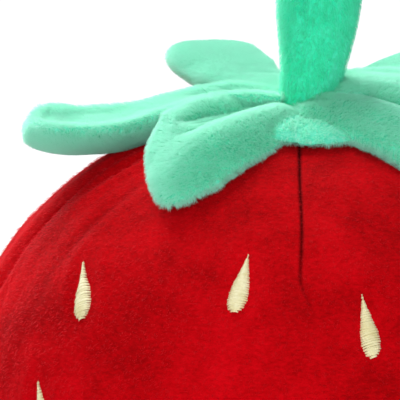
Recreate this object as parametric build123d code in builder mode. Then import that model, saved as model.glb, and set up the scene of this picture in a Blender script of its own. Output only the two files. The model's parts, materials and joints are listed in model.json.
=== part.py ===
from build123d import *
import os
from math import asin, cos, degrees, radians, sin, sqrt

# Strawberry-shaped plush cushion: a stuffed red body sewn from three panels, embroidered seeds, a padded
# green calyx with six leaves and a stuffed stem. Millimetres, +Z up, origin at the middle of the flat
# base, front towards -Y. An azimuth is measured from the front towards the right side (+X).

# Body: its outline is an upper and a lower arc that meet at the widest height
BODY_HEIGHT = 300.0
WIDEST_HEIGHT = 173.0
UPPER_RADIUS = BODY_HEIGHT - WIDEST_HEIGHT
FLAT_TOP_RADIUS = 12.0
BODY_RADIUS = FLAT_TOP_RADIUS + UPPER_RADIUS
LOWER_RADIUS = 215.0
LOWER_CENTRE = BODY_RADIUS - LOWER_RADIUS
BASE_ROUND = 16.0
PLUSH = 2.0
SIDE_SEAM = 77.0
BACK_SEAM = 180.0

# Embroidered seeds
SEED_LENGTH = 26.5
SEED_WIDTH = 8.6
SEED_RISE = 0.8
STITCH_REACH = 12.0
# azimuth, height and lean of each seed on the front panel, placed by hand
FRONT_SEEDS = [
    (-47, 245, -28), (-12, 253, 5), (12.5, 238, -4), (47, 243, 26),
    (-48, 198, -22), (-15, 197, -3), (14, 185, 2), (46, 193, 18),
    (-46, 149, -6), (-15, 144, 0), (15, 133, -2), (45, 141, 5),
    (-45, 98, 5), (-15, 92, 2), (15, 81, 0), (44, 90, -5), (0, 46, 0),
]
# columns of seeds on each back panel, alternately high and low
BACK_COLUMNS = [100, 127, 154]
BACK_TOP_ROW = 234.0
BACK_ROW_STEP = 52.0
BACK_ROWS = 4
COLUMN_DROP = 25.0

# Ladder stitches in the back seam
CLOSING_LOW = 60.0
CLOSING_STEP = 6.0
CLOSING_COUNT = 10
STITCH_LENGTH = 5.0
STITCH_WIDTH = 1.2
STITCH_RISE = 0.7

# Calyx centre
CROWN_RADIUS = 48.5
LEAF_PAD = 8.0
CLEAR = 0.3
HINGE_RADIUS = 45.0
CROWN_FLAT = HINGE_RADIUS - LEAF_PAD / 2 - CLEAR
HINGE_BEND = UPPER_RADIUS + CLEAR + LEAF_PAD / 2
HINGE_HEIGHT = WIDEST_HEIGHT + sqrt(HINGE_BEND**2 - (HINGE_RADIUS - FLAT_TOP_RADIUS) ** 2)
TACK_RADIUS = 30.0
TACK_LENGTH = 6.0

# Leaves
LEAF_SPINE = 61.0
LEAF_REACH = LEAF_SPINE + LEAF_PAD / 2
ROOT_HALF_WIDTH = 18.5
LEAF_HALF_WIDTH = 25.0
DRAPE_PITCH = -degrees(asin((HINGE_RADIUS - FLAT_TOP_RADIUS) / HINGE_BEND))
# name: azimuth, pitch at the root and bend radius along the leaf
LEAVES = {
    "leaf_left": (-93, -3, 600),
    "leaf_front_left": (-39, DRAPE_PITCH, HINGE_BEND),
    "leaf_front_right": (50, DRAPE_PITCH, HINGE_BEND),
    "leaf_right": (103, 8, 200),
    "leaf_back_left": (-150, 6, 500),
    "leaf_back_right": (154, 8, 500),
}

# Stem
STEM_ROOT_RADIUS = 11.0
STEM_TOP_RADIUS = 16.0
STEM_SHOULDER = 42.0
STEM_LEAN = 6.0
STEM_PIVOT = (4.5, 0.0, BODY_HEIGHT + PLUSH + CLEAR + STEM_ROOT_RADIUS)
STEM_HOLE = STEM_ROOT_RADIUS + 3.0


def meridian(azimuth):
    """The upright plane through the body's axis: x outwards, y up."""
    out = Vector(sin(radians(azimuth)), -cos(radians(azimuth)), 0)
    return Plane(origin=(0, 0, 0), x_dir=out, z_dir=out.cross(Vector(0, 0, 1)))


def surface_plane(azimuth, height, lean=0.0):
    """The plane that touches the body there: x along the surface to the right, y uphill."""
    if height > WIDEST_HEIGHT:
        rise = (height - WIDEST_HEIGHT) / UPPER_RADIUS
        run = sqrt(1 - rise**2)
        radius = FLAT_TOP_RADIUS + UPPER_RADIUS * run
    else:
        rise = (height - WIDEST_HEIGHT) / LOWER_RADIUS
        run = sqrt(1 - rise**2)
        radius = LOWER_CENTRE + LOWER_RADIUS * run
    side = Vector(cos(radians(azimuth)), sin(radians(azimuth)), 0)
    out = Vector(sin(radians(azimuth)), -cos(radians(azimuth)), 0)
    normal = out * run + Vector(0, 0, rise)
    uphill = normal.cross(side)
    across = side * cos(radians(lean)) - uphill * sin(radians(lean))
    return Plane(origin=out * radius + Vector(0, 0, height), x_dir=across, z_dir=normal)


def body_section(inset):
    """Half section of the body, its skin moved inwards by inset."""
    round_radius = BASE_ROUND - inset
    to_round = sqrt((LOWER_RADIUS - BASE_ROUND) ** 2 - (WIDEST_HEIGHT - BASE_ROUND) ** 2)
    round_x = LOWER_CENTRE + to_round
    slope = asin((WIDEST_HEIGHT - BASE_ROUND) / (LOWER_RADIUS - BASE_ROUND))
    meet = (round_x + round_radius * cos(slope), BASE_ROUND - round_radius * sin(slope))
    top = (FLAT_TOP_RADIUS, BODY_HEIGHT - inset)
    side = (BODY_RADIUS - inset, WIDEST_HEIGHT)
    with BuildLine() as outline:
        Polyline((round_x, inset), (0, inset), (0, BODY_HEIGHT - inset), top)
        TangentArc(top, side, tangent=(1, 0))
        TangentArc(side, meet, tangent=(0, -1))
        RadiusArc(meet, (round_x, inset), round_radius)
    make_face(outline.line)


def skin_section(low, high):
    """Half section of a layer that lies on the body, between two heights above its surface."""
    body_section(-high)
    with BuildSketch(mode=Mode.PRIVATE) as inner:
        body_section(-low)
    add(inner.sketch, mode=Mode.SUBTRACT)


def dome_section(low, high):
    """Half section of a layer that follows the top of the body, out past the calyx centre."""
    edge = CROWN_RADIUS - FLAT_TOP_RADIUS + LEAF_PAD
    with BuildSketch(mode=Mode.PRIVATE) as under:
        with Locations((FLAT_TOP_RADIUS, WIDEST_HEIGHT)):
            Circle(UPPER_RADIUS + low)
    with Locations((FLAT_TOP_RADIUS, WIDEST_HEIGHT)):
        Circle(UPPER_RADIUS + high)
    add(under.sketch, mode=Mode.SUBTRACT)
    with Locations((FLAT_TOP_RADIUS, BODY_HEIGHT)):
        Rectangle(edge, 2 * CROWN_RADIUS, align=(Align.MIN, Align.CENTER), mode=Mode.INTERSECT)
    with Locations((0, BODY_HEIGHT + low)):
        Rectangle(FLAT_TOP_RADIUS, high - low, align=(Align.MIN, Align.MIN))


def seed_outline():
    """Teardrop with its point up, centred on the origin."""
    bulb = SEED_WIDTH / 2
    bulb_y = bulb - SEED_LENGTH / 2
    tip = (0, SEED_LENGTH / 2)
    with BuildLine() as outline:
        ThreePointArc((-bulb, bulb_y), (0, -SEED_LENGTH / 2), (bulb, bulb_y))
        TangentArc((bulb, bulb_y), tip, tangent=(0, 1))
        TangentArc((-bulb, bulb_y), tip, tangent=(0, 1))
    make_face(outline.line)


def stitch_outline():
    SlotOverall(STITCH_LENGTH, STITCH_WIDTH)


def save(piece, name):
    piece.part.label = name
    export_step(piece.part, f"parts/{name}.step")


def sew_panel(name, start, end):
    """One panel of the body's skin, from seam to seam."""
    with BuildPart() as panel:
        with BuildSketch(meridian(start)):
            skin_section(-PLUSH, 0)
        revolve(axis=Axis.Z, revolution_arc=end - start)
    save(panel, name)


def stitch_on_body(name, places, outline, rise):
    """Raised stitching on the body's surface: one solid for each place."""
    with BuildPart() as stitching:
        for place in places:
            with BuildSketch(surface_plane(*place)):
                outline()
            extrude(amount=STITCH_REACH, both=True)
        with BuildSketch(meridian(0)):
            skin_section(0, rise)
        revolve(axis=Axis.Z, mode=Mode.INTERSECT)
    save(stitching, name)


def back_seeds(side):
    """Seeds of one back panel; side is 1 for the right and -1 for the left."""
    places = []
    for column, azimuth in enumerate(BACK_COLUMNS):
        top = BACK_TOP_ROW - COLUMN_DROP * (column % 2)
        places += [(side * azimuth, top - BACK_ROW_STEP * row, 0) for row in range(BACK_ROWS)]
    return places


def on_crown(radius, azimuth):
    """A place on the calyx centre seen from above, turned to point outwards."""
    angle = azimuth - 90
    return Location((radius * cos(radians(angle)), radius * sin(radians(angle)), 0), (0, 0, angle))


def crown_outline():
    """The calyx centre from above: a disc with one flat side for each leaf."""
    Circle(CROWN_RADIUS)
    for azimuth, _, _ in LEAVES.values():
        with Locations(on_crown(CROWN_FLAT, azimuth)):
            Rectangle(CROWN_RADIUS, 2 * CROWN_RADIUS, align=(Align.MIN, Align.CENTER), mode=Mode.SUBTRACT)


def sew_crown(name, low, high, hole=0.0):
    """One layer of the calyx centre, with a hole for the stem's root."""
    with BuildPart() as layer:
        with BuildSketch(meridian(0)):
            dome_section(low, high)
        revolve(axis=Axis.Z)
        with BuildSketch(Plane.XY.offset(WIDEST_HEIGHT)):
            crown_outline()
            if hole:
                with Locations(STEM_PIVOT[:2]):
                    Circle(hole, mode=Mode.SUBTRACT)
        extrude(amount=BODY_HEIGHT, mode=Mode.INTERSECT)
    save(layer, name)


def crown_tacks(name):
    """Tacking stitches between the leaves, on top of the calyx centre."""
    azimuths = sorted(azimuth for azimuth, _, _ in LEAVES.values())
    gaps = [(a + b) / 2 for a, b in zip(azimuths, azimuths[1:] + [azimuths[0] + 360])]
    with BuildPart() as tacks:
        with BuildSketch(Plane.XY.offset(WIDEST_HEIGHT)):
            for gap in gaps:
                with Locations(on_crown(TACK_RADIUS, gap)):
                    SlotOverall(TACK_LENGTH, STITCH_WIDTH)
        extrude(amount=BODY_HEIGHT)
        with BuildSketch(meridian(0)):
            dome_section(LEAF_PAD, LEAF_PAD + STITCH_RISE)
        revolve(axis=Axis.Z, mode=Mode.INTERSECT)
    save(tacks, name)


def leaf_outline(inset):
    """Paddle-shaped leaf from its root at x = 0 to its tip, each side one smooth curve."""
    root = ROOT_HALF_WIDTH - inset
    widest = LEAF_HALF_WIDTH - inset
    reach = LEAF_REACH - inset
    with BuildLine() as outline:
        Polyline((0, 0), (-LEAF_PAD, 0), (-LEAF_PAD, root), (0, root))
        Spline(
            (0, root),
            (0.3 * reach, 0.5 * (root + widest)),
            (0.62 * reach, widest),
            (0.9 * reach, 0.66 * widest),
            (reach, 0),
            tangents=((1, 0), (0, -1)),
        )
        Line((reach, 0), (0, 0))
    make_face(outline.line)
    mirror(about=Plane.XZ)


def leaf_planes(azimuth, pitch, bend):
    """The leaf's upright lengthwise plane, and the plane its outline is drawn on."""
    upright = meridian(azimuth)
    hinge = upright.from_local_coords((HINGE_RADIUS, HINGE_HEIGHT, 0))
    upright = Plane(origin=hinge, x_dir=upright.x_dir, z_dir=upright.z_dir)
    chord = radians(pitch) - LEAF_SPINE / bend / 2
    along = upright.x_dir * cos(chord) + Vector(0, 0, sin(chord))
    return upright, Plane(origin=hinge, x_dir=along, z_dir=along.cross(upright.z_dir) * -1)


def leaf_spine(pitch, bend):
    """The leaf's centre line in its lengthwise plane, bending downwards."""
    heading = (cos(radians(pitch)), sin(radians(pitch)))
    return JernArc((0, 0), heading, bend, -degrees(LEAF_SPINE / bend), mode=Mode.PRIVATE)


def sew_leaf(name, azimuth, pitch, bend):
    """A padded leaf: a thin wadding between an upper and an under fabric that meet round its edge."""
    upright, outline_plane = leaf_planes(azimuth, pitch, bend)
    spine = leaf_spine(pitch, bend)
    bend_centre = (bend * sin(radians(pitch)), -bend * cos(radians(pitch)))

    with BuildPart() as wadding:
        with BuildSketch(upright):
            SlotArc(spine, LEAF_PAD - 2 * PLUSH)
        extrude(amount=LEAF_HALF_WIDTH, both=True)
        with BuildSketch(outline_plane):
            leaf_outline(PLUSH)
        extrude(amount=LEAF_REACH, both=True, mode=Mode.INTERSECT)
    save(wadding, f"{name}_wadding")

    for side, keep in (("upper", Mode.SUBTRACT), ("under", Mode.INTERSECT)):
        with BuildPart() as fabric:
            with BuildSketch(upright):
                SlotArc(spine, LEAF_PAD)
                with Locations(bend_centre):
                    Circle(bend, mode=keep)
            extrude(amount=LEAF_HALF_WIDTH, both=True)
            with BuildSketch(outline_plane):
                leaf_outline(0)
            extrude(amount=LEAF_REACH, both=True, mode=Mode.INTERSECT)
            add(wadding.part, mode=Mode.SUBTRACT)
        save(fabric, f"{name}_{side}")


def stem_section(inset):
    """Half section of the stem about its own axis: round root at the pivot, flared towards the top."""
    root = STEM_ROOT_RADIUS - inset
    shoulder = STEM_TOP_RADIUS - inset
    with BuildLine() as outline:
        Line((0, -root), (0, STEM_SHOULDER + shoulder))
        CenterArc((0, 0), root, -90, 90)
        TangentArc((root, 0), (shoulder, STEM_SHOULDER), tangent=(0, 1))
        CenterArc((0, STEM_SHOULDER), shoulder, 0, 90)
    make_face(outline.line)


def stem_half(facing):
    """The plane through the stem's leaning axis: x to the right for 1, to the left for -1."""
    lean = radians(STEM_LEAN)
    side = (facing * cos(lean), 0, -facing * sin(lean))
    return Plane(origin=STEM_PIVOT, x_dir=side, z_dir=(0, -facing, 0))


def sew_stem():
    right = stem_half(1)
    axis = Axis(right.origin, right.y_dir)
    for name, facing in (("stem_back", 1), ("stem_front", -1)):
        with BuildPart() as fabric:
            with BuildSketch(stem_half(facing)):
                stem_section(0)
                with BuildSketch(mode=Mode.PRIVATE) as hollow:
                    stem_section(PLUSH)
                add(hollow.sketch, mode=Mode.SUBTRACT)
            revolve(axis=axis, revolution_arc=180)
        save(fabric, name)
    with BuildPart() as filling:
        with BuildSketch(right):
            stem_section(PLUSH)
        revolve(axis=axis)
    save(filling, "stem_filling")


os.makedirs("parts", exist_ok=True)

sew_panel("front_panel", -SIDE_SEAM, SIDE_SEAM)
sew_panel("back_right_panel", SIDE_SEAM, BACK_SEAM)
sew_panel("back_left_panel", BACK_SEAM, 360 - SIDE_SEAM)

with BuildPart() as body_filling:
    with BuildSketch(meridian(0)):
        body_section(PLUSH)
    revolve(axis=Axis.Z)
save(body_filling, "body_filling")

stitch_on_body("front_seeds", FRONT_SEEDS, seed_outline, SEED_RISE)
stitch_on_body("back_right_seeds", back_seeds(1), seed_outline, SEED_RISE)
stitch_on_body("back_left_seeds", back_seeds(-1), seed_outline, SEED_RISE)
stitch_on_body(
    "closing_stitches",
    [(BACK_SEAM, CLOSING_LOW + CLOSING_STEP * n) for n in range(CLOSING_COUNT)],
    stitch_outline,
    STITCH_RISE,
)

sew_crown("crown_under", 0, PLUSH)
sew_crown("crown_wadding", PLUSH, LEAF_PAD - PLUSH, hole=STEM_HOLE)
sew_crown("crown_upper", LEAF_PAD - PLUSH, LEAF_PAD, hole=STEM_HOLE)
crown_tacks("crown_stitches")

for leaf_name, leaf_shape in LEAVES.items():
    sew_leaf(leaf_name, *leaf_shape)

sew_stem()
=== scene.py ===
import json
import math

import bmesh
import bpy
import numpy as np
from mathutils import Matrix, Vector, noise


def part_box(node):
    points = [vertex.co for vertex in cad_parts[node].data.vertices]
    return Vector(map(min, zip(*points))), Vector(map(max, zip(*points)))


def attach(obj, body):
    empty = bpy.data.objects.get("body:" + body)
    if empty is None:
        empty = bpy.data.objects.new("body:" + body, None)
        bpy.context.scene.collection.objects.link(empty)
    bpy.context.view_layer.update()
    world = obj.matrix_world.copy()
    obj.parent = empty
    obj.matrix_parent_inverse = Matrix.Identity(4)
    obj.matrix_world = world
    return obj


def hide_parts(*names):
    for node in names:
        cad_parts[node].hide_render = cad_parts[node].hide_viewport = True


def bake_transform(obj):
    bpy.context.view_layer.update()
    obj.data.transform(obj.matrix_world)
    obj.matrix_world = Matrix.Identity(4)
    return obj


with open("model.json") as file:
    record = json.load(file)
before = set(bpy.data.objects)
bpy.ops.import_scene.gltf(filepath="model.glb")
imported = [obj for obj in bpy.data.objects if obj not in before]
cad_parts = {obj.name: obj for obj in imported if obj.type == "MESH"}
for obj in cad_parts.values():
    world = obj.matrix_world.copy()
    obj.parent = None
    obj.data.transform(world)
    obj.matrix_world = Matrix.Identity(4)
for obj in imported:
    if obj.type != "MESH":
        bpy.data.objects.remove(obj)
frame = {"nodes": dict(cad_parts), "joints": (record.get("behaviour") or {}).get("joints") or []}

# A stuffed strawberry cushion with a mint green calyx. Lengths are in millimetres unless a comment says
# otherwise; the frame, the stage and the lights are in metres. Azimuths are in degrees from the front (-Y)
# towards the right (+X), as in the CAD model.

MM = 0.001
UP = np.array([0.0, 0.0, 1.0])
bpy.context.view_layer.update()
JOINTS = {joint["name"]: joint for joint in frame["joints"]}
CORE_BODY = "cushion"

# ---------------------------------------------------------------- sums that the pieces share


def bump_at(distance, width):
    """A smooth hump, 1 at the middle."""
    return np.exp(-((distance / width) ** 2))


def humps(distance, shape):
    """Humps added up. The shape lists (place on both sides of the line, width, height)."""
    return sum(height * bump_at(abs(distance) - place, width) for place, width, height in shape)


def smooth(x, low, high):
    """Rises smoothly from 0 at low to 1 at high."""
    t = np.clip((x - low) / (high - low), 0, 1)
    return t * t * (3 - 2 * t)


NOISE_STEPS = (17.3, 5.1, 9.7)


def lumps(points, scale, seed):
    """Smooth noise, about -1 to 1, with lumps of that size."""
    shift = Vector([seed * step for step in NOISE_STEPS])
    return np.array([noise.noise(Vector(p) / scale + shift) for p in points])


def wrapped(azimuth):
    """The same azimuth between -180 and 180."""
    return (azimuth + 180) % 360 - 180


def outward(azimuth):
    """Level unit vectors that point away from the axis at these azimuths."""
    turn = np.radians(azimuth)
    return np.stack([np.sin(turn), -np.cos(turn), 0 * turn], axis=1)


# ---------------------------------------------------------------- plain outline of the body, from the frame

BODY_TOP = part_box("front_panel")[1].z / MM
BODY_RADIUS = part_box("back_right_panel")[1].x / MM
FLAT_TOP = 12.0
UPPER_RADIUS = BODY_RADIUS - FLAT_TOP
WIDEST = BODY_TOP - UPPER_RADIUS
LOWER_RADIUS = 215.0
LOWER_CENTRE = BODY_RADIUS - LOWER_RADIUS
BASE_ROUND = 16.0
FLAT_TOP_STEP = 1.0
ARC_STEPS = 200
BASE_ROUND_STEPS = 20
FLAT_BASE_STEPS = 30


def outline_arc(centre, radius, start, end, steps):
    """Points and outward normals of an arc of the outline, without its last point."""
    angles = np.linspace(start, end, steps, endpoint=False)
    normals = np.stack([np.cos(angles), np.sin(angles)], axis=1)
    return np.array(centre) + radius * normals, normals


def outline_flat(distances, height, rise):
    """Points and outward normals of a level stretch of the outline."""
    points = np.stack([distances, np.full(len(distances), height)], axis=1)
    return points, np.tile([0.0, rise], (len(distances), 1))


def body_profile():
    """The body's half outline, from the top down: points, outward normals and distances along it."""
    slope = math.asin((WIDEST - BASE_ROUND) / (LOWER_RADIUS - BASE_ROUND))
    round_x = LOWER_CENTRE + (LOWER_RADIUS - BASE_ROUND) * math.cos(slope)
    stretches = [
        outline_flat(np.arange(0, FLAT_TOP, FLAT_TOP_STEP), BODY_TOP, 1.0),
        outline_arc((FLAT_TOP, WIDEST), UPPER_RADIUS, math.pi / 2, 0, ARC_STEPS),
        outline_arc((LOWER_CENTRE, WIDEST), LOWER_RADIUS, 0, -slope, ARC_STEPS),
        outline_arc((round_x, BASE_ROUND), BASE_ROUND, -slope, -math.pi / 2, BASE_ROUND_STEPS),
        outline_flat(np.linspace(round_x, 0, FLAT_BASE_STEPS), 0.0, -1.0),
    ]
    points, normals = (np.concatenate(parts) for parts in zip(*stretches))
    steps = np.linalg.norm(np.diff(points, axis=0), axis=1)
    return points, normals, np.concatenate([[0], np.cumsum(steps)])


PROFILE, PROFILE_NORMAL, PROFILE_LENGTH = body_profile()
PROFILE_END = PROFILE_LENGTH[-1]


def nearest_on_profile(radius, height):
    """Index of the outline's point nearest to this distance from the axis and this height."""
    return np.argmin(np.hypot(PROFILE[:, 0] - radius, PROFILE[:, 1] - height))


def body_height(radius):
    """Height of the plain top of the body at distances from its axis."""
    over = np.clip(radius - FLAT_TOP, 0, UPPER_RADIUS - 1)
    return WIDEST + np.sqrt(UPPER_RADIUS**2 - over**2)


# ---------------------------------------------------------------- places of the embroidered seeds


class Seed:
    """Where an embroidered seed lies: read from one solid of a CAD node, given as triangles."""

    def __init__(self, triangles):
        centres = triangles.mean(1)
        normals = np.cross(triangles[:, 1] - triangles[:, 0], triangles[:, 2] - triangles[:, 0])
        share = np.linalg.norm(normals, axis=1)[:, None]
        centroid = (centres * share).sum(0) / share.sum()
        spread = ((centres - centroid) * share).T @ (centres - centroid)
        axis = np.linalg.eigh(spread)[1][:, -1]
        along = (triangles.reshape(-1, 3) - centroid) @ axis
        self.up = axis if along.max() > -along.min() else -axis
        self.length = along.max() - along.min()
        self.middle = centroid + axis * (along.max() + along.min()) / 2
        radial = np.array([self.middle[0], self.middle[1], 0.0])
        reach = np.linalg.norm(radial)
        out, rise = PROFILE_NORMAL[nearest_on_profile(reach, self.middle[2])]
        self.normal = radial / reach * out + UP * rise
        self.up = self.up - self.normal * (self.up @ self.normal)
        self.up /= np.linalg.norm(self.up)
        self.side = np.cross(self.up, self.normal)


def seeds_of(node):
    """The seeds of a CAD node, one for each of its separate solids."""
    mesh = frame["nodes"][node].data
    mesh.calc_loop_triangles()
    corners = np.array([vertex.co for vertex in mesh.vertices]) / MM
    triangles = np.array([triangle.vertices for triangle in mesh.loop_triangles])
    keys = {}
    group = np.array([keys.setdefault(tuple(np.round(corner, 2)), len(keys)) for corner in corners])
    label = np.arange(len(keys))
    changed = True
    while changed:
        lowest = label[group[triangles]].min(1)
        before = label.copy()
        for k in range(3):
            np.minimum.at(label, group[triangles[:, k]], lowest)
        changed = (label != before).any()
    owner = label[group[triangles[:, 0]]]
    return [Seed(corners[triangles[owner == one]]) for one in np.unique(owner)]


SEED_NODES = ["front_seeds", "back_right_seeds", "back_left_seeds"]
SEEDS = {node: seeds_of(node) for node in SEED_NODES}

# ---------------------------------------------------------------- stuffed skin: seams, dart, folds and lumps

PLUSH = 2.0
SIDE_SEAM = 77.0
SEAMS = (-SIDE_SEAM, SIDE_SEAM, 180)
SEAM_CUT = [(0, 2.0, -2.6)]
SEAM_SHOULDERS = [(0, 8.0, -1.8), (10, 6.0, 1.5)]
SEAM_SHADE = [(0, 1.4, 0.85), (0, 5.0, 0.25)]
SEAM_HEIGHTS = (2, 45)
# waves of the seam line: how far it strays, wave length over 2 pi, and shift per degree of azimuth
SEAM_WAVES = [(0.6, 23.0, 1), (0.35, 9.0, 2)]
PUCKER_SHARE = 0.35
PUCKER_WAVE = 5.3
# the side seams swing back by this many degrees near the top, where the cloth was pulled in
SEAM_PULL = 3.0
SEAM_PULL_HEIGHTS = (225, 280)
SEAM_PULL_WIDTH = 22

DART_AZIMUTH = 0.2
DART_HOOK = 2.4
DART_HOOK_HEIGHTS = (240, 256)
DART_WAVER = 0.2
DART_WAVE = 6.0
DART_CUT = [(0, 0.8, -1.5), (0, 7.0, -0.8)]
DART_CUT_HEIGHTS = (240, 262)
DART_SHADE_WIDTH = 0.6
DART_SHADE_HEIGHTS = (240, 250)
DART_SHADE_LOW = 0.55
DART_DARKEST_HEIGHTS = (250, 275)
DIMPLE_HEIGHT = 244
DIMPLE_DEPTH = 0.9
DIMPLE_OFF = 1
DIMPLE_SIZE = (5, 14)

# soft folds that fan out from under the leaves: azimuth at the top and at the bottom, radius from and to,
# and depth
FOLDS = [
    (-100, -92, 58, 96, 1.5), (-64, -71, 58, 96, 2.6), (-52, -58, 76, 112, 0.8), (-116, -104, 60, 96, 1.2),
    (92, 84, 58, 104, 1.5), (62, 60, 68, 110, 0.9), (118, 108, 60, 100, 1.3), (150, 146, 60, 104, 1.2),
    (-150, -147, 60, 102, 1.2), (176, 170, 62, 100, 1.0),
]
FOLD_SHAPE = [(0, 3.2, -1.0), (7, 4.0, 0.55)]
FOLD_SHADE = [(0, 2.2, 0.25)]
FOLD_FADE_HEIGHT = 30
FOLD_FADE_RADIUS = 16
FOLD_DEEPEST = 0.4
FOLD_SPREAD = 0.5

# large and small lumps of the stuffing: size, height and noise seed
STUFFING_LUMPS = [(42.0, 0.9, 1), (17.0, 0.45, 2)]
LUMP_HEIGHTS = (1, 30)
# the base, on which the cushion stands, stays flat
RELIEF_HEIGHTS = (0, 12)

# each seed sinks into the pile, with a low rim round it, on ovals of this half width and half length
SEED_OVAL = (6.5, 16.0)
SEED_DENT = [(0, 0.75, -0.9), (1.45, 0.35, 0.55)]
SEED_REACH = 30


def seam_relief(azimuth, along, radius, height):
    """Relief and shade of the three long seams, with a slightly wandering and puckered line."""
    relief = np.zeros_like(azimuth)
    shade = np.zeros_like(azimuth)
    base = smooth(height, *SEAM_HEIGHTS)
    for seam in SEAMS:
        wander = sum(far * np.sin(height / wave + shift * seam) for far, wave, shift in SEAM_WAVES)
        off = np.radians(wrapped(azimuth - seam)) * radius + wander
        pucker = 1 + PUCKER_SHARE * np.sin(along / PUCKER_WAVE + seam)
        relief += base * (pucker * humps(off, SEAM_CUT) + humps(off, SEAM_SHOULDERS))
        shade += base * humps(off, SEAM_SHADE)
    return relief, shade


def dart_relief(azimuth, radius, height):
    """Relief and shade of the short front dart, which hooks to the right and ends in a dimple."""
    hook = DART_HOOK * (1 - smooth(height, *DART_HOOK_HEIGHTS))
    line = DART_AZIMUTH + hook + DART_WAVER * np.sin(height / DART_WAVE)
    off = np.radians(azimuth - line) * radius
    wide, tall = DIMPLE_SIZE
    dimple = DIMPLE_DEPTH * bump_at(height - DIMPLE_HEIGHT, tall) * bump_at(off - DIMPLE_OFF, wide)
    relief = smooth(height, *DART_CUT_HEIGHTS) * humps(off, DART_CUT) - dimple
    # painted shade along the dart, darker towards its top
    darkness = DART_SHADE_LOW + (1 - DART_SHADE_LOW) * smooth(height, *DART_DARKEST_HEIGHTS)
    shade = smooth(height, *DART_SHADE_HEIGHTS) * bump_at(off, DART_SHADE_WIDTH) * darkness
    return relief, shade


def fold_relief(azimuth, radius, height):
    """Relief and shade of the soft folds on the upper half."""
    relief = np.zeros_like(azimuth)
    shade = np.zeros_like(azimuth)
    upper = smooth(height, WIDEST, WIDEST + FOLD_FADE_HEIGHT)
    for top, bottom, start, end, depth in FOLDS:
        share = np.clip((radius - start) / (end - start), 0, 1)
        off = np.radians(wrapped(azimuth - (top + (bottom - top) * share))) * radius
        fade = upper * bump_at(share - FOLD_DEEPEST, FOLD_SPREAD)
        fade *= smooth(radius, start - FOLD_FADE_RADIUS, start)
        relief += depth * fade * humps(off, FOLD_SHAPE)
        shade += fade * humps(off, FOLD_SHADE)
    return relief, shade


def body_relief(azimuth, along, radius, height):
    """How far the stuffed skin stands out from the plain outline, and the painted shade that darkens its
    colour in the seams, dart and folds, from 0 to 1.
    """
    azimuth = wrapped(azimuth)
    parts = [
        seam_relief(azimuth, along, radius, height),
        dart_relief(azimuth, radius, height),
        fold_relief(azimuth, radius, height),
    ]
    relief = sum(relief for relief, _ in parts)
    painted_shade = sum(shade for _, shade in parts)
    return relief, np.clip(painted_shade, 0, 1)


def seam_lean(azimuth, height):
    """Degrees by which the cloth near the side seams swings back near the top."""
    pull = SEAM_PULL * smooth(height, *SEAM_PULL_HEIGHTS)
    right = bump_at(azimuth - SIDE_SEAM, SEAM_PULL_WIDTH)
    left = bump_at(azimuth + SIDE_SEAM, SEAM_PULL_WIDTH)
    return pull * (right - left)


def body_points(azimuth, along, inset=0.0):
    """Points of the stuffed skin for arrays of azimuth and distance down the outline, with creases, and the
    painted shade in them.
    """
    radius = np.interp(along, PROFILE_LENGTH, PROFILE[:, 0])
    height = np.interp(along, PROFILE_LENGTH, PROFILE[:, 1])
    out = np.interp(along, PROFILE_LENGTH, PROFILE_NORMAL[:, 0])
    rise = np.interp(along, PROFILE_LENGTH, PROFILE_NORMAL[:, 1])
    relief, painted_shade = body_relief(azimuth, along, radius, height)
    side = outward(azimuth + seam_lean(wrapped(azimuth), height))
    points = side * radius[:, None] + np.outer(height, UP)
    normals = side * out[:, None] + np.outer(rise, UP)
    base = smooth(height, *LUMP_HEIGHTS)
    relief += base * sum(high * lumps(points, size, number) for size, high, number in STUFFING_LUMPS)
    for seed in (seed for seeds in SEEDS.values() for seed in seeds):
        away = points - seed.middle
        near = np.abs(away).max(axis=1) < SEED_REACH
        half_width, half_length = SEED_OVAL
        oval = np.hypot(away[near] @ seed.side / half_width, away[near] @ seed.up / half_length)
        relief[near] += humps(oval, SEED_DENT)
    relief *= smooth(height, *RELIEF_HEIGHTS)
    return points + normals * (relief - inset)[:, None], painted_shade


def on_skin(points):
    """The points of the stuffed skin that lie over or under the given ones."""
    azimuth = np.degrees(np.arctan2(points[:, 0], -points[:, 1]))
    radius = np.hypot(points[:, 0], points[:, 1])
    near = [nearest_on_profile(r, z) for r, z in zip(radius, points[:, 2])]
    skin, _ = body_points(azimuth, PROFILE_LENGTH[near])
    return skin


# ---------------------------------------------------------------- meshes


def make_object(name, points, faces, painted_shade=None):
    """A smooth mesh object from points in millimetres, with its faces turned outwards."""
    mesh = bpy.data.meshes.new(name)
    mesh.from_pydata([tuple(p) for p in np.asarray(points) * MM], [], faces)
    mesh.validate()
    shell = bmesh.new()
    shell.from_mesh(mesh)
    bmesh.ops.recalc_face_normals(shell, faces=shell.faces)
    shell.to_mesh(mesh)
    shell.free()
    mesh.polygons.foreach_set("use_smooth", [True] * len(mesh.polygons))
    # painted shade of the seams, dart and folds, kept on the points so the material can darken the colour
    if painted_shade is not None:
        attribute = mesh.attributes.new("painted_shade", "FLOAT", "POINT")
        attribute.data.foreach_set("value", np.asarray(painted_shade, np.float32))
    piece = bpy.data.objects.new(name, mesh)
    bpy.context.scene.collection.objects.link(piece)
    return piece


def flipped(faces):
    return [face[::-1] for face in faces]


def shifted(faces, count):
    return [tuple(i + count for i in face) for face in faces]


def grid_faces(rows, columns, closed=False):
    """Quads of a grid of points stored row by row; closed joins the last column to the first."""
    faces = []
    last = columns if closed else columns - 1
    for i in range(rows - 1):
        for j in range(last):
            k = (j + 1) % columns
            faces.append((i * columns + j, i * columns + k, (i + 1) * columns + k, (i + 1) * columns + j))
    return faces


def tube_faces(rings, columns):
    """Faces of a tube of rings of points, with a flat cap at each end."""
    first = tuple(range(columns))
    last = tuple((rings - 1) * columns + k for k in first)
    return grid_faces(rings, columns, closed=True) + [first[::-1], last]


def skin_grid(azimuths, alongs):
    """Azimuth and distance down the outline of every point of a grid, row by row."""
    return np.tile(azimuths, len(alongs)), np.repeat(alongs, len(azimuths))


# ---------------------------------------------------------------- materials


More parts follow.
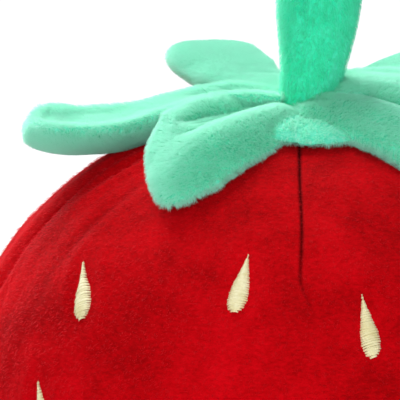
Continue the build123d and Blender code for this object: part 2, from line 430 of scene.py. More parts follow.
def new_material(name):
    material = bpy.data.materials.new(name)
    material.use_nodes = True
    nodes = material.node_tree.nodes
    return material, nodes, material.node_tree.links, nodes["Principled BSDF"]


def set_inputs(made, **values):
    """Sets a node's inputs. An underscore in a name stands for a space."""
    for name, value in values.items():
        made.inputs[name.replace("_", " ")].default_value = value


def object_place(nodes):
    """The place on the object, as texture coordinates."""
    return nodes.new("ShaderNodeTexCoord").outputs["Object"]


def noise_node(nodes, links, place, scale, detail, rough=0.6):
    made = nodes.new("ShaderNodeTexNoise")
    set_inputs(made, Scale=scale, Detail=detail, Roughness=rough)
    links.new(place, made.inputs["Vector"])
    return made.outputs["Fac"]


def mix_node(nodes, links, first, second, factor):
    made = nodes.new("ShaderNodeMix")
    set_inputs(made, Factor=factor)
    links.new(first, made.inputs["A"])
    links.new(second, made.inputs["B"])
    return made.outputs["Result"]


def ramp_node(nodes, links, value, stops):
    """Colours for a value: stops are (place, colour)."""
    made = nodes.new("ShaderNodeValToRGB")
    ramp = made.color_ramp
    while len(ramp.elements) < len(stops):
        ramp.elements.new(0.5)
    for element, (place, colour) in zip(ramp.elements, stops):
        element.position = place
        element.color = (*colour, 1)
    links.new(value, made.inputs["Fac"])
    return made.outputs["Color"]


def add_bump(nodes, links, shader, height, strength, distance):
    made = nodes.new("ShaderNodeBump")
    set_inputs(made, Strength=strength, Distance=distance * MM)
    links.new(height, made.inputs["Height"])
    links.new(made.outputs["Normal"], shader.inputs["Normal"])


# painted shade at the bottom of the creases, as a share of the cloth's colour
CREASE_SHADE = (0.2, 0.16, 0.16)


def plush_material(name, colours, sheen, sheen_tint, pile_scale, streak, bump_height):
    """Short pile: mottled colour where the pile lies different ways, painted shade in the creases, fine tufts
    and a soft sheen.
    """
    material, nodes, links, shader = new_material(name)
    place = object_place(nodes)
    broad = noise_node(nodes, links, place, scale=28.0, detail=3.0)
    fine = noise_node(nodes, links, place, scale=240.0, detail=4.0, rough=0.7)
    stretch = nodes.new("ShaderNodeMapping")
    set_inputs(stretch, Scale=streak)
    links.new(place, stretch.inputs["Vector"])
    tufts = noise_node(nodes, links, stretch.outputs["Vector"], scale=pile_scale, detail=5.0, rough=0.75)
    lie = mix_node(nodes, links, broad, tufts, factor=0.5)
    cloth = ramp_node(nodes, links, lie, list(zip((0.39, 0.5, 0.62), colours)))
    # painted shade: the colour is multiplied towards CREASE_SHADE where the skin lies in a seam, dart or fold
    painted_shade = nodes.new("ShaderNodeAttribute")
    painted_shade.attribute_name = "painted_shade"
    shade = nodes.new("ShaderNodeMix")
    shade.data_type = "RGBA"
    shade.blend_type = "MULTIPLY"
    set_inputs(shade, B=(*CREASE_SHADE, 1))
    links.new(painted_shade.outputs["Fac"], shade.inputs["Factor"])
    links.new(cloth, shade.inputs["A"])
    links.new(shade.outputs["Result"], shader.inputs["Base Color"])
    height = nodes.new("ShaderNodeMath")
    height.operation = "ADD"
    links.new(tufts, height.inputs[0])
    links.new(fine, height.inputs[1])
    add_bump(nodes, links, shader, height.outputs["Value"], strength=0.9, distance=bump_height)
    set_inputs(shader, Roughness=0.92, Specular_IOR_Level=0.04)
    set_inputs(shader, Sheen_Weight=sheen, Sheen_Roughness=0.38, Sheen_Tint=(*sheen_tint, 1))
    return material


def thread_material(name, dark, light):
    """Lustrous embroidery thread with a fine twist."""
    material, nodes, links, shader = new_material(name)
    place = object_place(nodes)
    twist = noise_node(nodes, links, place, scale=900.0, detail=2.0)
    patches = noise_node(nodes, links, place, scale=130.0, detail=2.0)
    lustre = mix_node(nodes, links, patches, twist, factor=0.4)
    colour = ramp_node(nodes, links, lustre, [(0.35, dark), (0.65, light)])
    links.new(colour, shader.inputs["Base Color"])
    add_bump(nodes, links, shader, twist, strength=0.5, distance=0.1)
    set_inputs(shader, Roughness=0.42, Sheen_Weight=0.3, Anisotropic=0.4)
    return material


def fibre_material(name, dark, light):
    """Matted polyester fibre."""
    material, nodes, links, shader = new_material(name)
    fibres = noise_node(nodes, links, object_place(nodes), scale=160.0, detail=8.0, rough=0.8)
    colour = ramp_node(nodes, links, fibres, [(0.3, dark), (0.7, light)])
    links.new(colour, shader.inputs["Base Color"])
    add_bump(nodes, links, shader, fibres, strength=1.0, distance=1.0)
    set_inputs(shader, Roughness=0.95, Sheen_Weight=0.3)
    return material


def pile_material(name, colour, through):
    """Single hairs of pile, pale where the light comes through them."""
    material, nodes, links, shader = new_material(name)
    set_inputs(shader, Base_Color=(*colour, 1), Roughness=0.6, Specular_IOR_Level=0.2)
    glow = nodes.new("ShaderNodeBsdfTranslucent")
    set_inputs(glow, Color=(*through, 1))
    mix = nodes.new("ShaderNodeMixShader")
    set_inputs(mix, Fac=0.36)
    links.new(shader.outputs["BSDF"], mix.inputs[1])
    links.new(glow.outputs["BSDF"], mix.inputs[2])
    links.new(mix.outputs["Shader"], nodes["Material Output"].inputs["Surface"])
    return material


RED_PLUSH = plush_material(
    "red_velboa", colours=[(0.33, 0.0002, 0.0015), (0.50, 0.0004, 0.0030), (0.66, 0.0012, 0.006)],
    sheen=0.08, sheen_tint=(1.0, 0.14, 0.18), pile_scale=420.0, streak=(1.0, 1.0, 2.2), bump_height=0.45,
)
GREEN_PLUSH = plush_material(
    "mint_plush", colours=[(0.06, 0.60, 0.38), (0.12, 0.76, 0.52), (0.30, 0.88, 0.68)],
    sheen=0.45, sheen_tint=(0.85, 1.0, 0.95), pile_scale=300.0, streak=(1.0, 1.0, 1.0), bump_height=0.7,
)
STEM_PLUSH = plush_material(
    "stem_plush", colours=[(0.025, 0.64, 0.34), (0.045, 0.82, 0.48), (0.12, 0.92, 0.64)],
    sheen=0.4, sheen_tint=(0.8, 1.0, 0.92), pile_scale=320.0, streak=(1.0, 1.0, 0.35), bump_height=0.6,
)
SEED_THREAD = thread_material("cream_thread", dark=(0.74, 0.66, 0.32), light=(0.90, 0.85, 0.54))
RED_THREAD = thread_material("red_thread", dark=(0.30, 0.002, 0.006), light=(0.55, 0.01, 0.02))
FIBREFILL = fibre_material("fibrefill", dark=(0.62, 0.62, 0.6), light=(0.9, 0.9, 0.88))
GREEN_PILE = pile_material("mint_pile", (0.40, 0.94, 0.76), through=(0.72, 1.0, 0.92))
STEM_PILE = pile_material("stem_pile", (0.12, 0.86, 0.60), through=(0.34, 0.97, 0.80))
RED_PILE = pile_material("red_pile", (0.62, 0.003, 0.010), through=(0.9, 0.03, 0.05))


def finish_piece(piece, material, body, nodes):
    """Material, slot, body and the CAD nodes that the piece stands for."""
    piece.data.materials.append(material)
    if body:
        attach(piece, body)
    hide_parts(*nodes)


# ---------------------------------------------------------------- pile and stuffing

CLOTH_FRAMES = 20


def grow_pile(piece, hair, length, count, children, seed, thick=0.13):
    """Short hairs of pile standing on a piece, for the soft edge of plush."""
    piece.data.materials.append(hair)
    modifier = piece.modifiers.new("pile", "PARTICLE_SYSTEM")
    system = modifier.particle_system
    system.seed = seed
    settings = system.settings
    settings.type = "HAIR"
    settings.count = count
    settings.hair_length = length * MM
    settings.hair_step = 3
    settings.render_step = 3
    settings.child_type = "INTERPOLATED"
    settings.rendered_child_count = children
    settings.roughness_endpoint = 0.6 * length * MM
    settings.roughness_2 = 0.3 * length * MM
    settings.brownian_factor = 0.0
    settings.tangent_factor = 0.25 * length * MM
    settings.clump_factor = 0.5
    settings.root_radius = 1.0
    settings.tip_radius = 0.25
    settings.radius_scale = thick * MM
    settings.material = len(piece.data.materials)


def plump(piece, cap):
    """Blow the padded mesh up a little as stuffed cloth, no point moving further than the cap."""
    start = np.array([vertex.co for vertex in piece.data.vertices])
    cloth = piece.modifiers.new("cloth", "CLOTH")
    cloth.settings.quality = 6
    cloth.settings.mass = 0.15
    cloth.settings.tension_stiffness = 12
    cloth.settings.compression_stiffness = 12
    cloth.settings.bending_stiffness = 0.4
    cloth.settings.use_pressure = True
    cloth.settings.uniform_pressure_force = 4.0
    cloth.settings.effector_weights.gravity = 0
    cloth.collision_settings.use_collision = False
    scene = bpy.context.scene
    for number in range(1, CLOTH_FRAMES + 1):
        scene.frame_set(number)
    evaluated = piece.evaluated_get(bpy.context.evaluated_depsgraph_get())
    moved = np.array([vertex.co for vertex in evaluated.data.vertices]) - start
    piece.modifiers.remove(cloth)
    scene.frame_set(1)
    size = np.linalg.norm(moved, axis=1, keepdims=True)
    limit = cap * MM
    moved *= limit * np.tanh(size / limit) / np.maximum(size, 1e-9)
    piece.data.vertices.foreach_set("co", (start + moved).ravel())
    piece.data.update()


# ---------------------------------------------------------------- body pieces

# azimuths from and to, azimuths of its seams and dart, step near those and elsewhere in degrees, step down
# the outline, and hairs of pile
PANELS = {
    "front_panel": (-SIDE_SEAM, SIDE_SEAM, [-SIDE_SEAM, 0, SIDE_SEAM], 0.16, 0.62, 1.5, 30000),
    "back_right_panel": (SIDE_SEAM, 180, [SIDE_SEAM, 180], 0.3, 0.85, 2.0, 16000),
    "back_left_panel": (180, 360 - SIDE_SEAM, [180, 360 - SIDE_SEAM], 0.3, 0.85, 2.0, 16000),
}
FINE_REACH = 6.0
POLE_GAP = 1.0
FILLING_GAP = 5.0
FILLING_STEP = 3.0
FILLING_ROWS = 150


def spaced(start, end, fine_spots, fine, coarse):
    """Azimuths from start to end, closer together near the fine spots."""
    values = [start]
    while values[-1] < end:
        gap = min(abs(values[-1] - spot) for spot in fine_spots)
        values.append(values[-1] + fine + (coarse - fine) * min(1.0, gap / FINE_REACH) ** 1.5)
    values[-1] = end
    return np.array(values)


def body_patch(name, azimuths, step):
    """A panel of plush over these azimuths: outer and inner face, joined round the edge."""
    alongs = np.linspace(POLE_GAP, PROFILE_END - POLE_GAP, int(PROFILE_END / step))
    rows, columns = len(alongs), len(azimuths)
    outer, painted_shade = body_points(*skin_grid(azimuths, alongs))
    inner, _ = body_points(*skin_grid(azimuths, alongs), PLUSH)
    count = rows * columns
    faces = flipped(grid_faces(rows, columns))
    faces += shifted(flipped(faces), count)
    ring = list(range(columns))
    ring += [i * columns + columns - 1 for i in range(1, rows)]
    ring += [(rows - 1) * columns + j for j in range(columns - 2, -1, -1)]
    ring += [i * columns for i in range(rows - 2, 0, -1)]
    faces += [(a, b, b + count, a + count) for a, b in zip(ring, ring[1:] + ring[:1])]
    return make_object(name, np.vstack([outer, inner]), faces, np.concatenate([painted_shade, painted_shade]))


def make_body():
    """The three panels of plush, and the stuffing that they hold."""
    for name, (start, end, spots, fine, coarse, step, hairs) in PANELS.items():
        panel = body_patch(f"{name}_plush", spaced(start, end, spots, fine, coarse), step)
        finish_piece(panel, RED_PLUSH, CORE_BODY, [name])
        grow_pile(panel, RED_PILE, length=0.9, count=hairs, children=6, seed=14, thick=0.12)
    azimuths = np.arange(0, 360, FILLING_STEP)
    alongs = np.linspace(POLE_GAP, PROFILE_END - POLE_GAP, FILLING_ROWS)
    points, _ = body_points(*skin_grid(azimuths, alongs), PLUSH + FILLING_GAP)
    filling = make_object("body_fibrefill", points, flipped(tube_faces(len(alongs), len(azimuths))))
    finish_piece(filling, FIBREFILL, CORE_BODY, ["body_filling"])


# ---------------------------------------------------------------- embroidery and hand stitches

STITCH_PITCH = 0.5
# the thread's radius, from and to, as shares of the pitch
STITCH_THICKNESS = (0.95, 1.15)
STITCH_RAGGED = 0.18
# rise of a stitch's ends, as a share of its half length
STITCH_SLANT = 0.16
STITCH_SUNK = 0.25
STITCH_LIFT = 0.75
SEED_CROWN = 1.0
SEED_RANDOM = 7
THREAD_STEPS = 7
THREAD_SIDES = 6
THREAD_ENDS = 0.8
THREAD_FLAT = 0.7
ARCH_CURVE = 0.6
SEED_HALF_WIDTH = 4.3
# the teardrop's widest place lies towards the round end, and its point is slim
TEAR_SHIFT = 1.75
TEAR_SLIM = 0.42
TEAR_SCALE = 1.12

CLOSING_STITCHES = 10
CLOSING_HALF_LENGTH = 2.6
CLOSING_HALF_RISE = 0.8
CLOSING_SUNK = 0.3
CLOSING_LIFT = 1.2
CLOSING_THREAD = 0.5


def thread_arch(start, end, lift, thick):
    """One satin stitch: a thread that arches from start to end over the surface."""
    along = (end - start) / np.linalg.norm(end - start)
    up = lift / np.linalg.norm(lift)
    across = np.cross(along, up)
    points = []
    for t in np.linspace(0, 1, THREAD_STEPS):
        arch = math.sin(math.pi * t)
        centre = start + (end - start) * t + lift * arch**ARCH_CURVE
        width = thick * (THREAD_ENDS + (1 - THREAD_ENDS) * arch)
        for turn in np.linspace(0, 2 * math.pi, THREAD_SIDES, endpoint=False):
            points.append(centre + width * (math.cos(turn) * across + THREAD_FLAT * math.sin(turn) * up))
    return points, tube_faces(THREAD_STEPS, THREAD_SIDES)


def seed_half_width(t):
    """Half width of the teardrop, from its point at t = 0 to its round end at t = 1."""
    oval = math.sin(math.pi * t**TEAR_SHIFT) ** 0.5
    return SEED_HALF_WIDTH * oval * (TEAR_SLIM + (1 - TEAR_SLIM) * t) * TEAR_SCALE


def make_seeds():
    rng = np.random.default_rng(SEED_RANDOM)
    for node_name, seeds in SEEDS.items():
        points = []
        faces = []
        for seed in seeds:
            count = int(seed.length / STITCH_PITCH)
            halves = []
            ends = []
            for n in range(1, count):
                t = n / count
                half = seed_half_width(t) + rng.uniform(-STITCH_RAGGED, STITCH_RAGGED)
                v = seed.length * (0.5 - t)
                slant = STITCH_SLANT * half
                halves.append(half)
                ends.append(seed.middle - seed.side * half + seed.up * (v - slant))
                ends.append(seed.middle + seed.side * half + seed.up * (v + slant))
            ends = on_skin(np.array(ends)) - seed.normal * STITCH_SUNK
            for half, start, end in zip(halves, ends[::2], ends[1::2]):
                lift = seed.normal * (STITCH_LIFT + SEED_CROWN * min(1.0, half / SEED_HALF_WIDTH))
                stitch, quads = thread_arch(start, end, lift, STITCH_PITCH * rng.uniform(*STITCH_THICKNESS))
                faces += shifted(quads, len(points))
                points += stitch
        piece = make_object(f"{node_name}_satin", points, faces)
        finish_piece(piece, SEED_THREAD, CORE_BODY, [node_name])


def make_closing_stitches():
    """A ladder of hand stitches across the back seam, where the stuffing went in."""
    low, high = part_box("closing_stitches")
    points = []
    faces = []
    for z in np.linspace(low.z / MM, high.z / MM, CLOSING_STITCHES):
        near = np.argmin(np.abs(PROFILE[:, 1] - z))
        out, rise = PROFILE_NORMAL[near]
        normal = np.array([0, out, rise])
        y = PROFILE[near, 0]
        ends = [(side * CLOSING_HALF_LENGTH, y, z - side * CLOSING_HALF_RISE) for side in (1, -1)]
        start, end = on_skin(np.array(ends)) - normal * CLOSING_SUNK
        stitch, quads = thread_arch(start, end, normal * CLOSING_LIFT, CLOSING_THREAD)
        faces += shifted(quads, len(points))
        points += stitch
    piece = make_object("closing_ladder_stitches", points, faces)
    finish_piece(piece, RED_THREAD, CORE_BODY, ["closing_stitches"])


# ---------------------------------------------------------------- leaves of the calyx

# Each leaf in its own frame: spine as places out from the stem, across to its plus side and up from the
# hinge; the rest as (share of the way to the tip, value) for half width, lift of the plus and minus sides in
# degrees, roll in degrees, and padding. A higher tip makes a blunter end, skew slants it, and minus_share
# narrows the minus side. A fold has its place across at the root and at the tip, its width, its height, and
# where it starts and ends.
PLAIN_LEAF = dict(roll=[(0, 0)], skew=0.0, folds=[], fat=[(0, 0.8), (0.4, 1)], minus_share=1.0)
LEAVES = {
    "leaf_left": dict(
        spine=[(6, 0, 7), (22, 0, 6.5), (38, 0, 2), (53, 0, -3), (70, 0, -8), (88, 0, -9.5), (101, 0, -8),
               (109, 0, -4)],
        width=[(0, 9), (0.2, 15), (0.4, 19), (0.6, 24), (0.8, 25), (1, 24)],
        plus=[(0, 50), (0.3, 38), (0.5, 34), (0.8, 44), (1, 40)],
        minus=[(0, 50), (0.3, 42), (0.5, 30), (0.8, 34), (1, 36)],
        tip=4.0,
    ),
    "leaf_front_left": dict(
        spine=[(6, 0, 1.5), (20, 0, 1.5), (34, 0, 0.8), (52, 2, -2), (67, 5, -7), (82, 10, -14)],
        width=[(0, 10), (0.25, 19), (0.5, 25.5), (0.75, 27), (1, 25)],
        plus=[(0, 50), (0.3, 46), (0.6, 30), (1, 6)],
        minus=[(0, -14), (0.35, -24), (0.7, -16), (1, -10)],
        roll=[(0, 0), (0.6, 4), (1, 12)], skew=0.6, tip=3.0, fat=[(0, 0.7), (0.4, 0.8), (0.7, 1)],
        folds=[(-0.35, -0.4, 0.34, 3.4, 0.12, 1.0), (0.14, 0.1, 0.11, -5.0, 0.0, 0.8),
               (0.55, 0.5, 0.13, -4.6, 0.0, 0.8), (0.34, 0.3, 0.1, 1.8, 0.0, 0.8)],
    ),
    "leaf_front_right": dict(
        spine=[(6, 0, 6), (20, 0, 5.5), (38, -2, 3), (54, -6, -2), (70, -8, -8.5), (84, -9, -16),
               (94, -9, -22)],
        width=[(0, 12), (0.2, 21), (0.4, 25), (0.6, 25), (0.8, 25), (1, 24)],
        plus=[(0, -14), (0.4, -20), (0.7, -12), (1, -6)],
        minus=[(0, 50), (0.4, 56), (0.7, 40), (1, 12)],
        tip=3.5, fat=[(0, 0.7), (0.4, 0.85), (0.7, 1)],
        folds=[(-0.4, -0.4, 0.16, -4.2, 0.0, 0.9), (0.1, 0.15, 0.25, 2.6, 0.0, 0.9)],
    ),
    "leaf_right": dict(
        spine=[(6, 0, 9), (22, 0, 10.5), (40, 0, 9.5), (60, 0, 7), (80, 0, 2), (98, 0, -3), (108, 0, -8)],
        width=[(0, 10), (0.2, 16), (0.4, 21), (0.6, 24), (0.8, 24), (1, 22)],
        plus=[(0, -20), (0.4, -12), (0.8, 10), (1, 10)],
        minus=[(0, 24), (0.4, 24), (0.8, 28), (1, 20)],
        tip=3.5,
    ),
    "leaf_back_left": dict(
        spine=[(6, 0, 7), (24, 0, 6), (44, 0, 4), (64, 0, 7), (80, 0, 10.5), (93, 0, 14)],
        width=[(0, 9), (0.2, 15), (0.4, 20), (0.6, 25), (0.8, 26), (1, 25)],
        plus=[(0, 20), (0.4, 16), (0.8, 14), (1, 0)],
        minus=[(0, 20), (0.35, 0), (0.7, -30), (1, -40)], minus_share=0.36,
        tip=3.6,
    ),
    "leaf_back_right": dict(
        spine=[(6, 0, 6), (24, 0, 4), (44, 0, 2), (64, 0, 1), (82, 0, 4), (98, 0, 7)],
        width=[(0, 9), (0.2, 15), (0.4, 20), (0.6, 24), (0.8, 24), (1, 23)],
        plus=[(0, 10), (0.4, 14), (0.8, 20), (1, 20)],
        minus=[(0, -10), (0.4, -24), (0.8, -30), (1, -24)],
        roll=[(0, 0), (0.5, 14), (1, 20)], tip=4.0,
    ),
}
LEAF_PAD = 8.4
LEAF_SWELL = 1.6
LEAF_STATIONS = 100
LEAF_AROUND = 48
TIP_FROM = 0.72
# the last ring keeps a little size, because the cloth can't be simulated on faces without area
TIP_LEFT_OPEN = 0.004
TIP_THINS = 0.4
EDGE_ROUND = 0.8
LIFT_CURVE = 1.1
FOLD_EARLY = 0.05
FOLD_LATE = 0.1
FOLD_FADES = 0.25
SKEW_RANGE = (0.4, 1.0)
SPINE_AHEAD = 0.01
SECTION_STEPS = 14
CLEAR_OF_BODY = 0.6
SOFT_LANDING = 3.0
RIPPLE_HEIGHT = 0.35
RIPPLE_SIZE = 9.0
RIPPLE_NOISE = 3


def curve_through(points, t):
    """Catmull-Rom curve through points at t from 0 to 1."""
    points = [np.array(p, float) for p in points]
    points = [2 * points[0] - points[1]] + points + [2 * points[-1] - points[-2]]
    spans = len(points) - 3
    place = min(max(t, 0.0), 1.0) * spans
    i = min(int(place), spans - 1)
    f = place - i
    a, b, c, d = points[i:i + 4]
    return 0.5 * (2 * b + (c - a) * f + (2 * a - 5 * b + 4 * c - d) * f**2 + (3 * b - a - 3 * c + d) * f**3)


def value_along(stops, t):
    """A number that changes along the leaf: stops are (place, value)."""
    places, values = zip(*stops)
    return float(np.interp(t, places, values))


def leaf_frame(name):
    """Unit vectors out and across of a leaf, and the height of its hinge, from its joint."""
    hinge = np.array(JOINTS[f"{name}_lift"]["pos_m"]) / MM
    out = np.array([hinge[0], hinge[1], 0.0])
    out /= np.linalg.norm(out)
    return out, np.cross(out, UP), hinge[2]


def leaf_section(across, lift_plus, lift_minus, half, folds):
    """Shift sideways, rise and slope of the leaf's middle surface at shares across from -1 to 1."""
    steps = np.linspace(0, 1, SECTION_STEPS)[:, None]
    lift = np.radians(np.where(across >= 0, lift_plus, lift_minus))
    slopes = lift * (steps * np.abs(across)) ** LIFT_CURVE
    reach = np.abs(across) * half
    side = np.trapz(np.cos(slopes), steps, axis=0) * reach
    rise = np.trapz(np.sin(slopes), steps, axis=0) * reach
    slope = np.sign(across) * slopes[-1]
    for spot, wide, high in folds:
        hump = high * bump_at(across - spot, wide)
        rise = rise + hump
        slope = slope - np.arctan(hump * 2 * (across - spot) / wide**2 / half)
    return np.sign(across) * side, rise, slope


def leaf_folds(shape, u):
    """The leaf's folds at station u: place across, width and height."""
    folds = []
    for at_root, at_tip, wide, high, start, end in shape["folds"]:
        fade = smooth(u, start - FOLD_EARLY, start + FOLD_LATE) * (1 - smooth(u, end - FOLD_FADES, end))
        folds.append((at_root + (at_tip - at_root) * u, wide, high * fade))
    return folds


def rest_on_body(points):
    """Lifts points that would be in the body to just over it, softly."""
    ground = body_height(np.hypot(points[:, 0], points[:, 1])) + CLEAR_OF_BODY
    over = points[:, 2] - ground - SOFT_LANDING
    low = over < 0
    points[low, 2] = ground[low] + SOFT_LANDING * np.exp(over[low] / SOFT_LANDING)


def leaf_points(name, shape):
    """Closed padded leaf: rings of points round it, from the stem to the tip."""
    out, cross, hinge_height = leaf_frame(name)
    rings = []
    turns = np.linspace(0, 2 * math.pi, LEAF_AROUND, endpoint=False)
    across = np.cos(turns)
    for u in np.linspace(0, 1, LEAF_STATIONS):
        place = curve_through(shape["spine"], u)
        before = curve_through(shape["spine"], max(0, u - SPINE_AHEAD))
        ahead = curve_through(shape["spine"], min(1, u + SPINE_AHEAD)) - before
        tangent = ahead[0] * out + ahead[1] * cross + ahead[2] * UP
        tangent /= np.linalg.norm(tangent)
        centre = place[0] * out + place[1] * cross + (hinge_height + place[2]) * UP
        level = np.cross(tangent, UP)
        level /= np.linalg.norm(level)
        square = np.cross(level, tangent)
        roll = math.radians(value_along(shape["roll"], u))
        side = math.cos(roll) * level + math.sin(roll) * square
        normal = math.cos(roll) * square - math.sin(roll) * level
        to_tip = max(0.0, (u - TIP_FROM) / (1 - TIP_FROM))
        closing = max(TIP_LEFT_OPEN, 1 - to_tip ** shape["tip"])
        half = value_along(shape["width"], u) * closing ** (1 / shape["tip"])
        fat = LEAF_PAD / 2 * closing**TIP_THINS * value_along(shape["fat"], u)
        lifts = value_along(shape["plus"], u), value_along(shape["minus"], u)
        shift, rise, slope = leaf_section(across, *lifts, max(half, 1.0), leaf_folds(shape, u))
        share = np.where(across < 0, shape["minus_share"], 1.0) * min(1.0, half)
        shift = shift * share
        rise = rise * share
        local_up = np.outer(np.cos(slope), normal) - np.outer(np.sin(slope), side)
        puff = np.sign(np.sin(turns)) * np.abs(np.sin(turns)) ** EDGE_ROUND * fat
        ring = centre + np.outer(shift, side) + np.outer(rise, normal) + local_up * puff[:, None]
        ring -= np.outer(shape["skew"] * shift * smooth(u, *SKEW_RANGE), tangent)
        rings.append(ring)
    points = np.concatenate(rings)
    rest_on_body(points)
    return points


def make_leaf(name, shape):
    """One padded leaf, which reaches out from the sewn-down middle."""
    points = leaf_points(name, shape)
    points += np.outer(RIPPLE_HEIGHT * lumps(points, RIPPLE_SIZE, RIPPLE_NOISE), UP)
    piece = make_object(f"{name}_plush", points, tube_faces(LEAF_STATIONS, LEAF_AROUND))
    nodes = [f"{name}_upper", f"{name}_wadding", f"{name}_under"]
    plump(piece, LEAF_SWELL)
    finish_piece(piece, GREEN_PLUSH, None, nodes)
    out, _, hinge_height = leaf_frame(name)
    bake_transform(piece)
    grow_pile(piece, GREEN_PILE, length=1.7, count=9000, children=9, seed=11)


# ---------------------------------------------------------------- sewn-down middle of the calyx

CROWN_RADIUS = 47.5
CROWN_HOLE = 0.2
CROWN_HALF_PAD = 2.9
CROWN_EDGE = 6
CROWN_LIFT = 3.0
CROWN_RINGS = 40
CROWN_COLUMNS = 120
# its edge is slightly wavy
CROWN_WAVES = 7
CROWN_WAVE = 0.03
# at the front two leaves meet in a pinch, with a low swelling round it
PINCH_AZIMUTH = 3
PINCH_DEPTH = 1.8
PINCH_SWELLING = 0.9
PINCH_SWELLING_WIDTH = 34
PINCH_SWELLING_RADII = (8, 30)
PINCH_DEEPEST = 14
# the pinch's half width in degrees is the first of these plus the second over the radius, so that it widens
# towards the stem
PINCH_WIDTH = 5
PINCH_WIDENS = 140


def make_crown():
    """A thin padded disc over the top of the body."""
    shares = np.linspace(0, 1, CROWN_RINGS)
    azimuth, share = skin_grid(np.linspace(0, 360, CROWN_COLUMNS, endpoint=False), shares)
    wave = 1 + CROWN_WAVE * np.sin(CROWN_WAVES * np.radians(azimuth))
    radius = np.maximum(CROWN_HOLE, CROWN_RADIUS * share) * wave
    off = wrapped(azimuth - PINCH_AZIMUTH)
    pinch = bump_at(off, PINCH_WIDTH + PINCH_WIDENS / (radius + 2)) * np.minimum(1, radius / PINCH_DEEPEST)
    swelling = bump_at(off, PINCH_SWELLING_WIDTH) * smooth(radius, *PINCH_SWELLING_RADII)
    middle = body_height(radius) + CROWN_LIFT
    half = CROWN_HALF_PAD * np.sqrt(1 - share**CROWN_EDGE)
    level = outward(azimuth) * radius[:, None]
    upper = level + np.outer(middle + half + PINCH_SWELLING * swelling - PINCH_DEPTH * pinch, UP)
    under = level + np.outer(middle - half, UP)
    count = len(level)
    faces = grid_faces(CROWN_RINGS, CROWN_COLUMNS, closed=True)
    faces += shifted(flipped(faces), count)
    faces.append(tuple(range(CROWN_COLUMNS))[::-1])
    faces.append(tuple(range(count, count + CROWN_COLUMNS)))
    edge = list(range(count - CROWN_COLUMNS, count))
    faces += [(a, b, b + count, a + count) for a, b in zip(edge, edge[1:] + edge[:1])]
    piece = make_object("crown_plush", np.concatenate([upper, under]), faces)
    nodes = ["crown_upper", "crown_wadding", "crown_under", "crown_stitches"]
    finish_piece(piece, GREEN_PLUSH, CORE_BODY, nodes)
    grow_pile(piece, GREEN_PILE, length=1.3, count=9000, children=8, seed=13)


# ---------------------------------------------------------------- stem

STEM_LEAN = 6.0
STEM_LOW = -10.0
STEM_TOP = 58.0
STEM_ROOT_RADIUS = 11.2
STEM_FLARE = 4.8
STEM_FLARE_HEIGHTS = (-5, 36)
STEM_DOME = 15.0
DOME_CURVE = 2.4
STEM_SEAM_DEPTH = 0.5
STEM_SEAM_WIDTH = 0.1
# very low lobes of the section, whose phase moves by one radian in the height given last
STEM_LOBES = 3
STEM_LOBE_SHARE = 0.02
STEM_TWIST = 9
STEM_RINGS = 70
STEM_COLUMNS = 72
STEM_SWELL = 1.2


def stem_radius(height):
    """The stem widens upwards and ends in a rounded top."""
    wide = STEM_ROOT_RADIUS + STEM_FLARE * smooth(height, *STEM_FLARE_HEIGHTS)
    cap = max(0.0, (height - (STEM_TOP - STEM_DOME)) / STEM_DOME)
    return max(0.3, wide * math.sqrt(max(0.0, 1 - cap**DOME_CURVE)))


def make_stem():
    """The stuffed stalk, which leans to the right from its base."""
    pivot = np.array(JOINTS["stem_tilt"]["pos_m"]) / MM
    lean = math.radians(STEM_LEAN)
    axis = np.array([math.sin(lean), 0, math.cos(lean)])
    across = np.array([math.cos(lean), 0, -math.sin(lean)])
    front = np.array([0, -1.0, 0])
    points = []
    for share in np.linspace(0, 1, STEM_RINGS):
        height = STEM_LOW + (STEM_TOP - STEM_LOW) * math.sin(share * math.pi / 2) ** 0.9
        wide = stem_radius(height)
        for turn in np.linspace(0, 2 * math.pi, STEM_COLUMNS, endpoint=False):
            seam = STEM_SEAM_DEPTH * bump_at(math.sin(turn), STEM_SEAM_WIDTH)
            lobes = 1 + STEM_LOBE_SHARE * math.sin(STEM_LOBES * turn + height / STEM_TWIST)
            radius = wide * lobes - seam
            points.append(pivot + axis * height + radius * (math.cos(turn) * across + math.sin(turn) * front))
    piece = make_object("stem_plush", points, flipped(tube_faces(STEM_RINGS, STEM_COLUMNS)))
    plump(piece, STEM_SWELL)
    nodes = ["stem_front", "stem_back", "stem_filling"]
    finish_piece(piece, STEM_PLUSH, None, nodes)
    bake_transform(piece)
    grow_pile(piece, STEM_PILE, length=1.5, count=2600, children=6, seed=12)


# ---------------------------------------------------------------- stage, lights and camera

# in metres and watts
FLOOR_RADIUS = 0.9
FLOOR_SIDES = 64
FLOOR_GREY = 0.86
LIGHT_TARGET = (0, 0, 0.24)
LIGHTS = {
    "key": dict(place=(-0.4, -1.35, 0.7), size=(0.8, 0.8), power=8.6),
    "fill_right": dict(place=(0.8, -1.2, 0.2), size=(0.8, 0.8), power=5.6),
    "top": dict(place=(-0.3, 0.45, 1.3), size=(0.6, 0.6), power=10),
    "rim_left": dict(place=(-0.6, 1.15, 1.0), size=(0.5, 0.7), power=22),
}
# how brightly the white world lights the scene, and how bright it looks
WORLD_LIGHT = 0.30
WORLD_LOOK = 1.1

CAMERA_TILT = 10.0
CAMERA_BACK = 6000.0
CAMERA_CLIP = 80
SENSOR_WIDTH = 36.0
VIEW_WIDE = 160.0
AIM_RIGHT = -39.2
AIM_UP = 262.7


def look_from(thing, place, direction):
    """Puts a light or camera at a place, looking in a direction."""
    thing.location = place
    thing.rotation_mode = "QUATERNION"
    thing.rotation_quaternion = direction.to_track_quat("-Z", "Y")
    bpy.context.scene.collection.objects.link(thing)


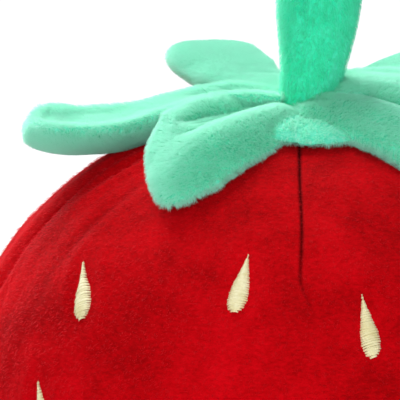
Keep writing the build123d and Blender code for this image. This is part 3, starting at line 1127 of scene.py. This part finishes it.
def make_floor():
    """A plain pale round floor."""
    turns = np.linspace(0, 2 * math.pi, FLOOR_SIDES, endpoint=False)
    corners = [(math.cos(a) * FLOOR_RADIUS, math.sin(a) * FLOOR_RADIUS, 0) for a in turns]
    mesh = bpy.data.meshes.new("floor")
    mesh.from_pydata(corners, [], [tuple(range(FLOOR_SIDES))])
    floor = bpy.data.objects.new("floor", mesh)
    bpy.context.scene.collection.objects.link(floor)
    material, _, _, shader = new_material("pale_floor")
    set_inputs(shader, Base_Color=(FLOOR_GREY, FLOOR_GREY, FLOOR_GREY, 1), Roughness=0.8)
    mesh.materials.append(material)


def make_world():
    """A white world that looks brighter than it lights."""
    world = bpy.data.worlds.new("white")
    bpy.context.scene.world = world
    world.use_nodes = True
    nodes, links = world.node_tree.nodes, world.node_tree.links
    path = nodes.new("ShaderNodeLightPath")
    strength = nodes.new("ShaderNodeMix")
    set_inputs(strength, A=WORLD_LIGHT, B=WORLD_LOOK)
    links.new(path.outputs["Is Camera Ray"], strength.inputs["Factor"])
    links.new(strength.outputs["Result"], nodes["Background"].inputs["Strength"])
    set_inputs(nodes["Background"], Color=(1, 1, 1, 1))


def make_lights():
    for name, light in LIGHTS.items():
        data = bpy.data.lights.new(name, "AREA")
        data.shape = "RECTANGLE"
        data.size, data.size_y = light["size"]
        data.energy = light["power"]
        place = Vector(light["place"])
        look_from(bpy.data.objects.new(name, data), place, Vector(LIGHT_TARGET) - place)


def make_camera():
    """Looks at the upper left of the cushion, a little from above."""
    tilt = math.radians(CAMERA_TILT)
    back = Vector((0, -math.cos(tilt), math.sin(tilt)))
    up = Vector((0, math.sin(tilt), math.cos(tilt)))
    aim = Vector((AIM_RIGHT, 0, 0)) + up * AIM_UP
    data = bpy.data.cameras.new("camera")
    data.sensor_width = SENSOR_WIDTH
    data.lens = SENSOR_WIDTH * CAMERA_BACK / VIEW_WIDE
    data.clip_end = CAMERA_CLIP
    camera = bpy.data.objects.new("camera", data)
    look_from(camera, (aim + back * CAMERA_BACK) * MM, -back)
    bpy.context.scene.camera = camera


bpy.context.scene.view_settings.view_transform = "Standard"
bpy.context.scene.view_settings.look = "None"
make_floor()
make_world()
make_lights()
make_camera()
make_body()
make_seeds()
make_closing_stitches()
make_crown()
for leaf_name, leaf_shape in LEAVES.items():
    make_leaf(leaf_name, {**PLAIN_LEAF, **leaf_shape})
make_stem()
